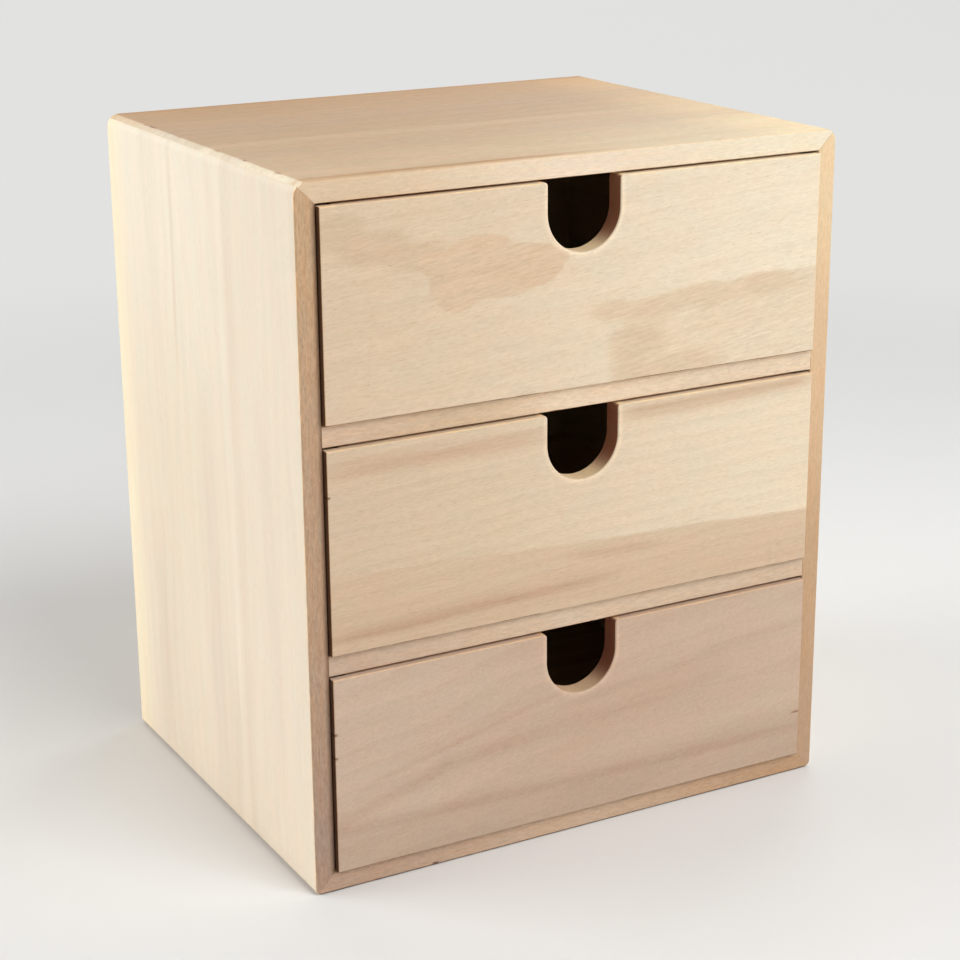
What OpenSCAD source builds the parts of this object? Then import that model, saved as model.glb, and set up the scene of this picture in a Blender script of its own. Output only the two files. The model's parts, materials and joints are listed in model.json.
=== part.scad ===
// Desktop mini drawers: a mitred wooden cabinet that holds three notched drawers.
// Millimetres, +Z up. The origin is the middle of the cabinet's underside.
// The drawer fronts face -Y, and each drawer pulls out along -Y.

/* [Cabinet] */
// Width over the two sides
cabinet_w = 200; // [150:1:320]
// Depth from the front edges to the back
cabinet_d = 160; // [110:1:260]
// Height over the bottom and the top
cabinet_h = 235; // [180:1:360]
// Thickness of the four outer boards
board_t = 7; // [6:0.5:12]
// Thickness of the two dividers
divider_t = 7; // [5:0.5:12]
// Rounding of the two long upper edges
upper_edge_r = 4.5; // [1:0.5:6]
// Rounding of the two long lower edges
lower_edge_r = 2.5; // [1:0.5:6]
// Depth of the housings in the sides that hold the dividers
housing_depth = 2.5; // [1:0.5:4]
// How far behind the front edges the housings stop
housing_stop = 8; // [3:1:20]

/* [Back panel] */
// Thickness of the plywood back
back_t = 3; // [2:0.5:5]
// Width of the rebate that the back sits in
rebate_w = 3.5; // [3:0.5:5]
// Play between the edges of the back and its rebate
back_play = 0.25; // [0.05:0.05:0.5]

/* [Drawers] */
// Thickness of the drawer fronts
front_t = 7.5; // [6:0.5:12]
// How far a closed front stands proud of the cabinet
front_proud = 1.8; // [0:0.2:4]
// Thickness of the lap at each end of a front that covers the end of the side
front_lap = 3; // [2:0.5:4]
// Thickness of the drawer sides
side_t = 6; // [5:0.5:9]
// Thickness of the drawer backs
drawer_back_t = 6; // [5:0.5:9]
// How much lower the sides and the back are than the front
side_drop = 4; // [0:0.5:12]
// Thickness of the plywood drawer floors
floor_t = 3; // [2:0.5:4]
// Height of a floor above the lower edge of its drawer
floor_lift = 5; // [3:0.5:8]
// Depth of the groove that holds the floor
groove_depth = 2.5; // [1.5:0.25:3.5]

/* [Finger notch] */
// Width of the notch in each front
notch_w = 27; // [20:1:36]
// Depth of the notch below the top edge of the front
notch_depth = 23.5; // [20:0.5:32]
// Rounding of the two corners where the notch meets the top edge
notch_ease = 1.2; // [0.4:0.1:2]

/* [Gaps] */
// Gap between a drawer and the cabinet's side
side_gap = 0.4; // [0.3:0.1:1.5]
// Gap between a drawer front and the board over it
top_gap = 0.7; // [0.5:0.1:2]
// Gap between a drawer and the board that it slides on
slide_gap = 0.3; // [0.2:0.05:0.6]
// Gap between a closed drawer and the back panel
stop_gap = 0.3; // [0.1:0.1:2]
// Play between the edges of a drawer floor and its grooves
floor_play = 0.3; // [0.1:0.1:0.6]

/* [Pins] */
// Thickness of the pins
pin_d = 1.2; // [0.8:0.1:1.6]
// Length of the pins
pin_l = 14; // [10:1:18]
// Width of the pin heads
pin_head_d = 2.4; // [1.8:0.1:2.8]
// Thickness of the pin heads
pin_head_t = 0.6; // [0.4:0.1:1]
// Distance of a drawer's pins from the upper and lower edges of its sides
pin_inset = 13; // [11:0.5:16]

/* [Hidden] */

$fn = 64;
over = 1;  // how far a cut runs past the face that it opens

// Bays, counted upwards from 0
drawer_count = 3;
bottom_bay = 0;
middle_bay = 1;
top_bay = 2;
inner_w = cabinet_w - 2 * board_t;
inner_h = cabinet_h - 2 * board_t;
bay_h = (inner_h - (drawer_count - 1) * divider_t) / drawer_count;
bay_pitch = bay_h + divider_t;
function bay_z(bay) = board_t + bay * bay_pitch;
function divider_z(bay_below) = bay_z(bay_below) + bay_h;

// Planes across the depth
front_y = -cabinet_d / 2;
back_y = cabinet_d / 2;
shoulder_y = back_y - back_t;
drawer_front_y = front_y - front_proud;
drawer_back_y = shoulder_y - stop_gap;
side_front_y = drawer_front_y + front_lap;
front_inner_y = drawer_front_y + front_t;
back_inner_y = drawer_back_y - drawer_back_t;

// One drawer, measured from its own lower edge
drawer_w = inner_w - 2 * side_gap;
drawer_h = bay_h - top_gap - slide_gap;
side_h = drawer_h - side_drop;
well_w = drawer_w - 2 * side_t;
floor_top = floor_lift + floor_t;
tongue = groove_depth - floor_play;

// Pin places
back_pin_x = inner_w / 2 + rebate_w / 2;
back_pin_z = [
  board_t - rebate_w / 2,
  divider_z(bottom_bay) + divider_t / 2,
  divider_z(middle_bay) + divider_t / 2,
  cabinet_h - board_t + rebate_w / 2
];
front_pin_y = (side_front_y + front_inner_y) / 2;
rear_pin_y = drawer_back_y - drawer_back_t / 2;

board_wood = "burlywood";
drawer_wood = "wheat";
ply_wood = "tan";
pin_steel = "silver";

// ---- Shared shapes ----

// Pulls a flat outline drawn in X and Z along the depth
module along_depth(y_start, y_end) {
  translate([0, y_end, 0])
    rotate([90, 0, 0])
      linear_extrude(height = y_end - y_start)
        children();
}

// A block between two opposite corners
module block(low, high) {
  translate(low) cube(high - low);
}

// Puts a drawer's piece into its bay
module in_bay(bay) {
  translate([0, 0, bay_z(bay) + slide_gap]) children();
}

// The part's left half and right half are alike
module both_hands() {
  children();
  mirror([1, 0, 0]) children();
}

// A headed pin that hangs below the origin, with its head flush at z = 0
module pin() {
  translate([0, 0, -pin_l]) cylinder(d = pin_d, h = pin_l);
  translate([0, 0, -pin_head_t]) cylinder(d = pin_head_d, h = pin_head_t);
}

// Pins driven in from the back, from the left and from below
module back_pin(place) {
  translate(place) rotate([-90, 0, 0]) pin();
}

module left_pin(place) {
  translate(place) rotate([0, -90, 0]) pin();
}

module floor_pin(place) {
  translate(place) rotate([180, 0, 0]) pin();
}

// ---- Cabinet ----

// What the rounding takes off one corner: its tip is at the origin and the
// wood lies towards +X and +Y
module corner_waste(r) {
  difference() {
    translate([-over, -over]) square(r + over);
    translate([r, r]) circle(r);
  }
}

// The cabinet's cross-section, rounded at its four corners
module cabinet_outline() {
  difference() {
    translate([-cabinet_w / 2, 0]) square([cabinet_w, cabinet_h]);
    for (hand = [0, 1])
      mirror([hand, 0]) {
        translate([-cabinet_w / 2, 0]) corner_waste(lower_edge_r);
        translate([-cabinet_w / 2, cabinet_h])
          mirror([0, 1]) corner_waste(upper_edge_r);
      }
  }
}

// The strips of that cross-section that the boards take, mitred at both ends
module side_strip() {
  polygon([
    [-cabinet_w / 2, 0],
    [-inner_w / 2, board_t],
    [-inner_w / 2, cabinet_h - board_t],
    [-cabinet_w / 2, cabinet_h]
  ]);
}

module bottom_strip() {
  polygon([
    [-cabinet_w / 2, 0],
    [cabinet_w / 2, 0],
    [inner_w / 2, board_t],
    [-inner_w / 2, board_t]
  ]);
}

module top_strip() {
  translate([0, cabinet_h]) mirror([0, 1]) bottom_strip();
}

// The back panel's seat, cut into the rear edges of the four outer boards
module back_rebate() {
  block(
    [-inner_w / 2 - rebate_w, shoulder_y, board_t - rebate_w],
    [inner_w / 2 + rebate_w, back_y + over, cabinet_h - board_t + rebate_w]
  );
}

// A divider before it is pinned: its front edge fills the space between the
// sides, and behind it a tongue at each end reaches into the stopped housings
module divider_blank(bay_below) {
  z = divider_z(bay_below);
  block(
    [-inner_w / 2, front_y, z],
    [inner_w / 2, shoulder_y, z + divider_t]
  );
  block(
    [-inner_w / 2 - housing_depth, front_y + housing_stop, z],
    [inner_w / 2 + housing_depth, shoulder_y, z + divider_t]
  );
}

// The pins that hold the back: one a bay in each side, two in each flat board
module back_pin_set() {
  both_hands() {
    for (bay = [bottom_bay : top_bay])
      back_pin([-back_pin_x, back_y, bay_z(bay) + bay_h / 2]);
    for (z = back_pin_z)
      back_pin([-inner_w / 4, back_y, z]);
  }
}

// One outer board: what the given strip takes of the cross-section, with the
// seat of the back and its pin holes cut out
module outer_board() {
  difference() {
    along_depth(front_y, back_y)
      intersection() {
        cabinet_outline();
        children();
      }
    back_rebate();
    back_pin_set();
  }
}

module left_side() {
  color(board_wood)
    difference() {
      outer_board() side_strip();
      divider_blank(bottom_bay);
      divider_blank(middle_bay);
    }
}

module right_side() {
  mirror([1, 0, 0]) left_side();
}

module bottom_board() {
  color(board_wood) outer_board() bottom_strip();
}

module top_board() {
  color(board_wood) outer_board() top_strip();
}

module divider(bay_below) {
  color(board_wood)
    difference() {
      divider_blank(bay_below);
      back_pin_set();
    }
}

module back_panel() {
  reach = rebate_w - back_play;
  color(ply_wood)
    difference() {
      block(
        [-inner_w / 2 - reach, shoulder_y, board_t - reach],
        [inner_w / 2 + reach, back_y, cabinet_h - board_t + reach]
      );
      back_pin_set();
    }
}

module back_pins() {
  color(pin_steel) back_pin_set();
}

// ---- Drawers, each on its own lower edge ----

// A U-shaped notch that hangs from the origin, with its two top corners eased
module notch_outline() {
  r = notch_w / 2;
  translate([0, r - notch_depth]) circle(r);
  translate([-r, r - notch_depth]) square([notch_w, notch_depth - r + over]);
  for (hand = [0, 1])
    mirror([hand, 0])
      translate([r, -notch_ease])
        difference() {
          square([notch_ease, notch_ease + over]);
          translate([notch_ease, 0]) circle(notch_ease);
        }
}

// The pins of one drawer: through the sides into the front and the back, and
// up through the floor into the back
module drawer_pin_set() {
  both_hands() {
    for (y = [front_pin_y, rear_pin_y], z = [pin_inset, side_h - pin_inset])
      left_pin([-drawer_w / 2, y, z]);
    floor_pin([-well_w / 4, rear_pin_y, floor_lift]);
  }
}

// The floor's space: grooved into the front and the sides, and open at the back
module floor_space(reach) {
  block(
    [-well_w / 2 - reach, front_inner_y - reach, floor_lift],
    [well_w / 2 + reach, drawer_back_y, floor_top]
  );
}

module drawer_front(bay) {
  in_bay(bay)
    color(drawer_wood)
      difference() {
        along_depth(drawer_front_y, front_inner_y)
          difference() {
            translate([-drawer_w / 2, 0]) square([drawer_w, drawer_h]);
            translate([0, drawer_h]) notch_outline();
          }
        both_hands()
          block(
            [-drawer_w / 2 - over, side_front_y, -over],
            [-well_w / 2, front_inner_y + over, drawer_h + over]
          );
        floor_space(groove_depth);
        drawer_pin_set();
      }
}

module drawer_left_side(bay) {
  in_bay(bay)
    color(drawer_wood)
      difference() {
        block(
          [-drawer_w / 2, side_front_y, 0],
          [-well_w / 2, drawer_back_y, side_h]
        );
        block(
          [-well_w / 2 - groove_depth, side_front_y - over, floor_lift],
          [0, drawer_back_y + over, floor_top]
        );
        drawer_pin_set();
      }
}

module drawer_right_side(bay) {
  mirror([1, 0, 0]) drawer_left_side(bay);
}

module drawer_back(bay) {
  in_bay(bay)
    color(drawer_wood)
      difference() {
        block(
          [-well_w / 2, back_inner_y, floor_top],
          [well_w / 2, drawer_back_y, side_h]
        );
        drawer_pin_set();
      }
}

module drawer_floor(bay) {
  in_bay(bay)
    color(ply_wood)
      difference() {
        floor_space(tongue);
        drawer_pin_set();
      }
}

module drawer_pins(bay) {
  in_bay(bay) color(pin_steel) drawer_pin_set();
}

left_side();
right_side();
top_board();
bottom_board();
divider(middle_bay);  // upper_divider
divider(bottom_bay);  // lower_divider
back_panel();
back_pins();
drawer_front(top_bay);  // top_drawer_front
drawer_left_side(top_bay);  // top_drawer_left_side
drawer_right_side(top_bay);  // top_drawer_right_side
drawer_back(top_bay);  // top_drawer_back
drawer_floor(top_bay);  // top_drawer_floor
drawer_pins(top_bay);  // top_drawer_pins
drawer_front(middle_bay);  // middle_drawer_front
drawer_left_side(middle_bay);  // middle_drawer_left_side
drawer_right_side(middle_bay);  // middle_drawer_right_side
drawer_back(middle_bay);  // middle_drawer_back
drawer_floor(middle_bay);  // middle_drawer_floor
drawer_pins(middle_bay);  // middle_drawer_pins
drawer_front(bottom_bay);  // bottom_drawer_front
drawer_left_side(bottom_bay);  // bottom_drawer_left_side
drawer_right_side(bottom_bay);  // bottom_drawer_right_side
drawer_back(bottom_bay);  // bottom_drawer_back
drawer_floor(bottom_bay);  // bottom_drawer_floor
drawer_pins(bottom_bay);  // bottom_drawer_pins
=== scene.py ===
import json
import math

import bmesh
import bpy
from mathutils import Matrix, Vector


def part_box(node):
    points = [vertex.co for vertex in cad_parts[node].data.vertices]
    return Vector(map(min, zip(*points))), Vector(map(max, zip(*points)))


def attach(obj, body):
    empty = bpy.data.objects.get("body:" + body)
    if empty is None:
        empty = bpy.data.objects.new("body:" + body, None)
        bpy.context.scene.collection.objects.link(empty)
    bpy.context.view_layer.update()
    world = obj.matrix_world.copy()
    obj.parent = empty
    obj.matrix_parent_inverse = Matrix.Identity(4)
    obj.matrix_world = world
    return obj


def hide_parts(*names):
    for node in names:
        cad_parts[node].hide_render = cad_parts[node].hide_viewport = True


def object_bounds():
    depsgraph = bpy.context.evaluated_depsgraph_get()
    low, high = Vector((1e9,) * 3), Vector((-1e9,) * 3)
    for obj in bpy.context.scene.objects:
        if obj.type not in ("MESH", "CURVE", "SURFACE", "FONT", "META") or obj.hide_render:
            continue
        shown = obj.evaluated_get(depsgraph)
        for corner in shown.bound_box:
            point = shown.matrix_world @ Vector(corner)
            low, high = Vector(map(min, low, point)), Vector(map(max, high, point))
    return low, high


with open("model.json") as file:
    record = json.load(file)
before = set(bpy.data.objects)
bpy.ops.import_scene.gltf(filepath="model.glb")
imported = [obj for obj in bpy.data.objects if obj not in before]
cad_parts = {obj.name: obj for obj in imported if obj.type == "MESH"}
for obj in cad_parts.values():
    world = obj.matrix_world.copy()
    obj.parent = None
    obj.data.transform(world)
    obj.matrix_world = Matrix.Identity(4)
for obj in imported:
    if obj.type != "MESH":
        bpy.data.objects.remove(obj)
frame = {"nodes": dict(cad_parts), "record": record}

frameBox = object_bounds()
print("frame loaded,", len(frame["nodes"]), "nodes")

mm = 0.001
bodyOf = {node: body for body, nodes in frame["record"]["behaviour"]["bodies"].items() for node in nodes}
drawerNames = ["top_drawer", "middle_drawer", "bottom_drawer"]


# a node's output that Python can reckon with
class Wire:
    def __init__(self, recipe, socket):
        self.recipe = recipe
        self.socket = socket

    def reckon(self, operation, *values):
        return self.recipe.node("ShaderNodeMath", dict(enumerate(values)), operation=operation)

    def __add__(self, other):
        return self.reckon("ADD", self, other)

    def __sub__(self, other):
        return self.reckon("SUBTRACT", self, other)

    def __rsub__(self, other):
        return self.reckon("SUBTRACT", other, self)

    def __mul__(self, other):
        return self.reckon("MULTIPLY", self, other)

    def __truediv__(self, other):
        return self.reckon("DIVIDE", self, other)

    def __rtruediv__(self, other):
        return self.reckon("DIVIDE", other, self)

    def __pow__(self, other):
        return self.reckon("POWER", self, other)

    def __neg__(self):
        return self.reckon("MULTIPLY", self, -1.0)

    def __abs__(self):
        return self.reckon("ABSOLUTE", self)

    __radd__ = __add__
    __rmul__ = __mul__

    def fraction(self):
        return self.reckon("FRACT", self)

    def lesser(self, other):
        return self.reckon("MINIMUM", self, other)

    def softLesser(self, other, width):
        return self.reckon("SMOOTH_MIN", self, other, width)


# adds nodes to a material, the world or a geometry tree
class Recipe:
    def __init__(self, tree):
        self.tree = tree

    def node(self, kind, values=None, pick=None, **settings):
        made = self.tree.nodes.new(kind)
        for name, value in settings.items():
            setattr(made, name, value)
        for key, value in (values or {}).items():
            if isinstance(key, int):
                socket = made.inputs[key]
            else:
                socket = next(s for s in made.inputs if s.name == key and s.enabled)
            for one in value if isinstance(value, list) else [value]:
                if isinstance(one, Wire):
                    self.tree.links.new(one.socket, socket)
                else:
                    socket.default_value = (*one, 1.0) if socket.type == "RGBA" else one
        shown = [s for s in made.outputs if s.enabled]
        if isinstance(pick, tuple):
            return [Wire(self, next(s for s in shown if s.name == name)) for name in pick]
        if not shown:
            return made
        return Wire(self, shown[0] if pick is None else next(s for s in shown if s.name == pick))

    def mix(self, factor, first, second, way="MIX"):
        return self.node("ShaderNodeMix", {"Factor": factor, "A": first, "B": second},
                         data_type="RGBA", blend_type=way, clamp_factor=True)

    # 0 at the one value, 1 at the other, soft between them
    def ease(self, value, none, full):
        values = {"Value": value, "From Min": none, "From Max": full}
        return self.node("ShaderNodeMapRange", values, interpolation_type="SMOOTHSTEP")

    def point(self, x, y, z=0.0):
        return self.node("ShaderNodeCombineXYZ", {"X": x, "Y": y, "Z": z})

    def noise(self, vector, scale, detail, rough):
        values = {"Vector": vector, "Scale": scale, "Detail": detail, "Roughness": rough}
        return self.node("ShaderNodeTexNoise", values)

    # noise as long and as wide as the grain it stands for
    def grain(self, vector, start, length, width, detail, rough):
        size = (1 / length, 1 / width, 1 / width)
        mapped = self.node("ShaderNodeMapping", {"Vector": vector, "Location": start, "Scale": size})
        return self.noise(mapped, 1.0, detail, rough)

    # relief is in millimetres
    def shader(self, colour, roughness, height, relief, strength, specular=0.5, metallic=0.0):
        bump = self.node("ShaderNodeBump", {
            "Strength": strength, "Distance": relief * mm, "Height": height})
        return self.node("ShaderNodeBsdfPrincipled", {
            "Base Color": colour, "Metallic": metallic, "Roughness": roughness, "Normal": bump,
            "Specular IOR Level": specular})

    def surface(self, shader, kind="Material"):
        self.node("ShaderNodeOutput" + kind, {"Surface": shader})


def putInScene(name, data):
    thing = bpy.data.objects.new(name, data)
    bpy.context.scene.collection.objects.link(thing)
    return thing


# a colour as a paint chart gives it, 0 to 255
def paint(red, green, blue):
    def level(value):
        value = value / 255
        return value / 12.92 if value <= 0.04045 else ((value + 0.055) / 1.055) ** 2.4
    return level(red), level(green), level(blue)


def newMaterial(name):
    material = bpy.data.materials.new(name)
    material.use_nodes = True
    material.node_tree.nodes.clear()
    return material, Recipe(material.node_tree)


# where a point lies and which way its surface looks, by axis
def whereAndFacing(r):
    place, facing = r.node("ShaderNodeTexCoord", pick=("Object", "Normal"))
    parts = []
    for vector in (place, facing):
        wires = r.node("ShaderNodeSeparateXYZ", {"Vector": vector}, pick=("X", "Y", "Z"))
        parts.append(dict(zip("xyz", wires)))
    return parts


# a point's place along the grain, across it and deep, in millimetres from the board's middle
def inGrain(node, grainAxes, place):
    low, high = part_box(node)
    middle = {axis: (low[i] + high[i]) / 2 / mm for i, axis in enumerate("xyz")}
    return [place[axis] / mm - middle[axis] for axis in grainAxes]


# what every board has unless its look says otherwise, lengths in millimetres
woodHabit = {
    "tones": [(236, 219, 192)],  # from one end of the board to the other, as paint takes them
    "halfLength": 95.0,
    "sweeps": [],  # way, start, end, tone: slow changes on top of that
    "paintedLightTints": [],  # the same, with a factor in place of the tone: painted light and shade
    "edgeTones": None,  # tones of a sawn front edge
    "edgeShade": None,  # way, start, end, factor: darker side of that edge
    "crownLightAndShade": [],  # axis, sign, start, end, factor: painted light or painted shade on a face turning over a round corner
    "arrises": [],  # axis, sign, factor of the front arrises that look that way: painted shade in gaps and under fronts, painted highlight where light catches them, and wood tints
    "patches": [],  # darker heartwood: lobes are x, z, half width and half height
    "shelves": [],  # a darker tone below a line
    "streaks": [],  # of streakAt
    "marks": [],  # of markAt: small knots, chips and nicks
    "notch": None,
    "heart": (-45.0, 70.0),  # heart of the tree, across and deep
    "ringGap": 6.0,
    "lean": 0.05,
    "hatchLean": 0.19,
    "waver": 2.5,
    "ringDepth": 0.2,
    "bandDepth": 0.6,
    "hairDepth": 0.5,
    "mottleDepth": 0.6,
    "bandSize": (160.0, 6.5),  # length and width of the soft bands
    "fuzzDepth": 0.5,
    "fuzzSize": (2.4, 0.6),
    "poreDepth": 0.32,
    "edgeDepth": 0.9,
    "pale": (1.045, 1.045, 1.04),
    "deep": (0.93, 0.9, 0.865),
    "greyer": (0.982, 0.988, 0.984),
    "pinker": (1.01, 0.98, 0.965),
    "poreTone": (0.74, 0.62, 0.5),
    "speckTone": (0.5, 0.34, 0.22),
    "hatchPale": (1.07, 1.07, 1.06),
    "hatchDeep": (0.91, 0.88, 0.84),
    "sawnPale": (1.13, 1.12, 1.11),
    "sawnDeep": (0.81, 0.77, 0.73),
    "sawnCool": (0.98, 1.0, 1.03),
    "sawnWarm": (1.035, 0.975, 0.935),
    "fleckTone": (0.66, 0.54, 0.44),
    "fleckDepth": 0.45,
    "endTone": (0.7, 0.54, 0.4),  # end grain, None where mitres hide it
    "gapShade": None,  # painted shade on the end that looks into the gap on the left
    "relief": 0.1,
    "sheen": 0.6,
}
markDepth = 0.8


# reach is where a streak starts and ends, and how softly; without it the streak runs the whole length
def streakAt(across, width, depth, tone, slope=0.0, wander=0.6, reach=None):
    return across, width, depth, paint(*tone), slope, wander, reach


# a mark lies on the face, or on the front edge of a board
def markAt(place, size, tone, stretch=1.6, onEdge=False):
    return place, size, paint(*tone), stretch, onEdge


# length, width, detail and roughness of each layer of grain, and where it starts in the noise
grainLayers = {
    "sway": (110, 34, 2.0, 0.5, 11),
    "unevenRings": (60, 12, 2.0, 0.5, 5),
    "hair": (26, 0.6, 4.0, 0.6, 8),
    "mottle": (15, 7.5, 2.0, 0.55, 61),
    "pores": (4.5, 0.36, 2.0, 0.5, 17),
    "specks": (2.6, 0.5, 1.0, 0.5, 29),
    "ripple": (15, 7, 3.0, 0.6, 37),
    "drift": (60, 30, 2.0, 0.5, 43),
    "hatch": (11, 0.85, 2.0, 0.6, 47),
    "wander": (90, 25, 2.0, 0.5, 41),
    "sawn": (3.4, 0.7, 4.0, 0.75, 83),
    "sawnHue": (16, 1.8, 2.0, 0.5, 91),
    "flecks": (1.5, 0.6, 2.0, 0.6, 97),
    "arrisWearAndLight": (9, 2.5, 3.0, 0.6, 53),
    "band": (3.0, 0.55, 2),  # the board's look gives the length and width of these two
    "fuzz": (3.0, 0.65, 71),
    "streak": (40, 1.8, 3.0, 0.6),  # and each streak its own start
}
# where in its noise or its ring a thing begins to show, and where it shows fully
grainShows = {
    "ringSwells": (0.15, 0.85),
    "ringEnds": (1.0, 0.88),
    "mottle": (0.36, 0.64),
    "pores": (0.56, 0.74),
    "specks": (0.7, 0.78),
    "sawnHue": (0.4, 0.62),
    "flecks": (0.58, 0.7),
    "arrisWearAndLight": (0.42, 0.6),
}
grainHeight = {"hair": 0.7, "band": 0.25, "fuzz": 0.3, "pores": -0.35, "specks": -0.4}
# how far a surface has to look a way to count as this or that
turnShows = {
    "frontEdge": (0.4, 0.85),
    "leavesSide": (0.12, 0.35),  # a front arris looks neither to the side
    "leavesFront": (0.985, 0.9),  # nor straight ahead
    "arris": (0.15, 0.45),
    "endCut": (0.35, 0.9),
    "notchWall": (0.3, 0.05),
    "notchSill": (0.55, 0.9),
    "notchFace": (0.3, 0.6),
}
seedSteps = (7.3, 3.1, 5.7)  # keep the patterns of two boards apart
swayReach = 4  # in wavers
wanderReach = 8.0


def woodFinish(node, grainAxes, seed, **changes):
    look = dict(woodHabit, **changes)
    material, r = newMaterial(node.replace("_", " ") + " wood")
    place, turn = whereAndFacing(r)
    along, across, deep = inGrain(node, grainAxes, place)
    ways = {"along": along, "across": across, "deep": deep, "slant": along - across}
    startX, startY, startZ = (seed * step for step in seedSteps)

    def grainNoise(length, width, detail, rough, shift, lean=0.0):
        spot = r.point(along, across - along * lean if lean else across, deep)
        start = (startX + shift, startY - shift, startZ + shift * 2)
        return r.grain(spot, start, length, width, detail, rough)

    def layer(name, lean=0.0):
        return grainNoise(*grainLayers[name], lean=lean)

    def shows(name, value):
        return r.ease(value, *grainShows[name])

    def turned(axis, sign, name):
        return r.ease(turn[axis] * sign, *turnShows[name])

    def reach(first, second):
        return (first * first + second * second) ** 0.5

    def tonesAlong(way, tones):
        colour, half = paint(*tones[0]), look["halfLength"]
        for step, tone in enumerate(tones[1:]):
            start = -half + 2 * half * step / (len(tones) - 1)
            end = start + 2 * half / (len(tones) - 1)
            colour = r.mix(r.ease(way, start, end), colour, paint(*tone))
        return colour

    def multiply(factor, colour, tone):
        return r.mix(factor, colour, tone, "MULTIPLY")

    # year rings, soft bands, hairlines, mottling, fuzz and pores
    sway = (layer("sway") - 0.5) * (look["waver"] * swayReach)
    heartAcross, heartDeep = look["heart"]
    fromHeart = reach(across + sway - along * look["lean"] - heartAcross, deep + sway * 0.3 - heartDeep)
    ring = (fromHeart / look["ringGap"] + layer("unevenRings") * 1.5).fraction()
    ringTone = shows("ringSwells", ring) * shows("ringEnds", ring)
    band = grainNoise(*look["bandSize"], *grainLayers["band"])
    hair = layer("hair", look["lean"])
    mottle = layer("mottle")
    fuzz = grainNoise(*look["fuzzSize"], *grainLayers["fuzz"], lean=look["lean"])
    pores = shows("pores", layer("pores", look["lean"]))
    specks = shows("specks", layer("specks"))

    # tone of the bare board, then painted light and shade from the light tints
    colour = tonesAlong(along + sway, look["tones"])
    for way, start, end, tone in look["sweeps"]:
        colour = r.mix(r.ease(ways[way] + sway, start, end), colour, paint(*tone))
    for way, start, end, tone in look["paintedLightTints"]:
        colour = multiply(r.ease(ways[way] + sway, start, end), colour, tone)

    # heartwood patches made of overlapping lobes, and shelves below a line
    if look["patches"] or look["shelves"]:
        ripple = (layer("ripple") - 0.5) * wanderReach
        drift = (layer("drift") - 0.5) * wanderReach
        hatch = layer("hatch", look["hatchLean"])
    for patch in look["patches"]:
        tone, near = paint(*patch["tone"]), None
        for x, z, halfWidth, halfHeight in patch["lobes"]:
            here = reach((along + ripple - x) / halfWidth,
                         (across + ripple * 0.45 + drift * 0.25 - z) / halfHeight)
            near = here if near is None else near.softLesser(here, 0.3)
        mask = r.ease(near + (hair - 0.5) * 0.12, 1 + patch["soft"], 1 - patch["soft"])
        lines = r.mix(hatch * 1.8 - 0.4, look["hatchPale"], look["hatchDeep"])
        inside = r.mix(patch["hatch"], tone, multiply(1.0, tone, lines))
        colour = r.mix(mask * patch["depth"], colour, inside)
    for shelf in look["shelves"]:
        under = along * shelf["slope"] + shelf["at"] - across + drift * shelf["wander"] + ripple * 0.12
        mask = r.ease(under, -shelf["soft"], shelf["soft"])
        colour = r.mix(mask * shelf["depth"], colour, paint(*shelf["tone"]))

    # single streaks
    wander = (layer("wander") - 0.5) * wanderReach
    for at, width, depth, tone, slope, share, extent in look["streaks"]:
        off = (across - (at + along * slope) + wander * share) / width
        mask = 1 / (1 + off * off * off * off)
        if extent:
            start, end, fade = extent
            mask = mask * r.ease(along, start - fade, start + fade) * r.ease(along, end + fade, end - fade)
        mask = mask * (0.4 + 1.2 * grainNoise(*grainLayers["streak"], at))
        colour = r.mix(mask * depth, colour, tone)

    # a sawn front edge, rougher than the faces
    onFront = turned("y", -1, "frontEdge")
    if look["edgeTones"]:
        sawn = tonesAlong(along + sway * 2, look["edgeTones"])
        sawnShade = r.mix(layer("sawn") * 3.0 - 1.0, look["sawnPale"], look["sawnDeep"])
        sawnHue = r.mix(shows("sawnHue", layer("sawnHue")), look["sawnCool"], look["sawnWarm"])
        sawnShade = multiply(1.0, sawnShade, sawnHue)
        flecks = shows("flecks", layer("flecks")) * look["fleckDepth"]
        sawnShade = multiply(flecks, sawnShade, look["fleckTone"])
        sawn = r.mix(look["edgeDepth"], sawn, multiply(1.0, sawn, sawnShade))
        if look["edgeShade"]:
            way, start, end, tone = look["edgeShade"]
            sawn = multiply(r.ease(ways[way], start, end), sawn, tone)
        colour = r.mix(onFront, colour, sawn)

    # the grain itself, fainter on a sawn edge
    figure = 0.5 + (band - 0.5) * look["bandDepth"] + (ringTone - 0.4) * look["ringDepth"]
    figure = figure + (hair - 0.5) * look["hairDepth"] + (fuzz - 0.5) * look["fuzzDepth"]
    shade = r.mix(figure, look["pale"], look["deep"])
    hue = r.mix(shows("mottle", mottle), look["greyer"], look["pinker"])
    shade = r.mix(look["mottleDepth"], shade, multiply(1.0, shade, hue))
    shade = multiply(pores * look["poreDepth"], shade, look["poreTone"])
    shade = multiply(specks * look["poreDepth"], shade, look["speckTone"])
    colour = multiply(1.0 - onFront * 0.7 if look["edgeTones"] else 1.0, colour, shade)

    for (x, z), size, tone, stretch, onEdge in look["marks"]:
        spread = reach((along - x) / stretch, (deep if onEdge else across) - z)
        mask = r.ease(spread + (hair - 0.5) * size, size * 1.2, size * 0.35)
        colour = r.mix(mask * markDepth, colour, tone)

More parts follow.
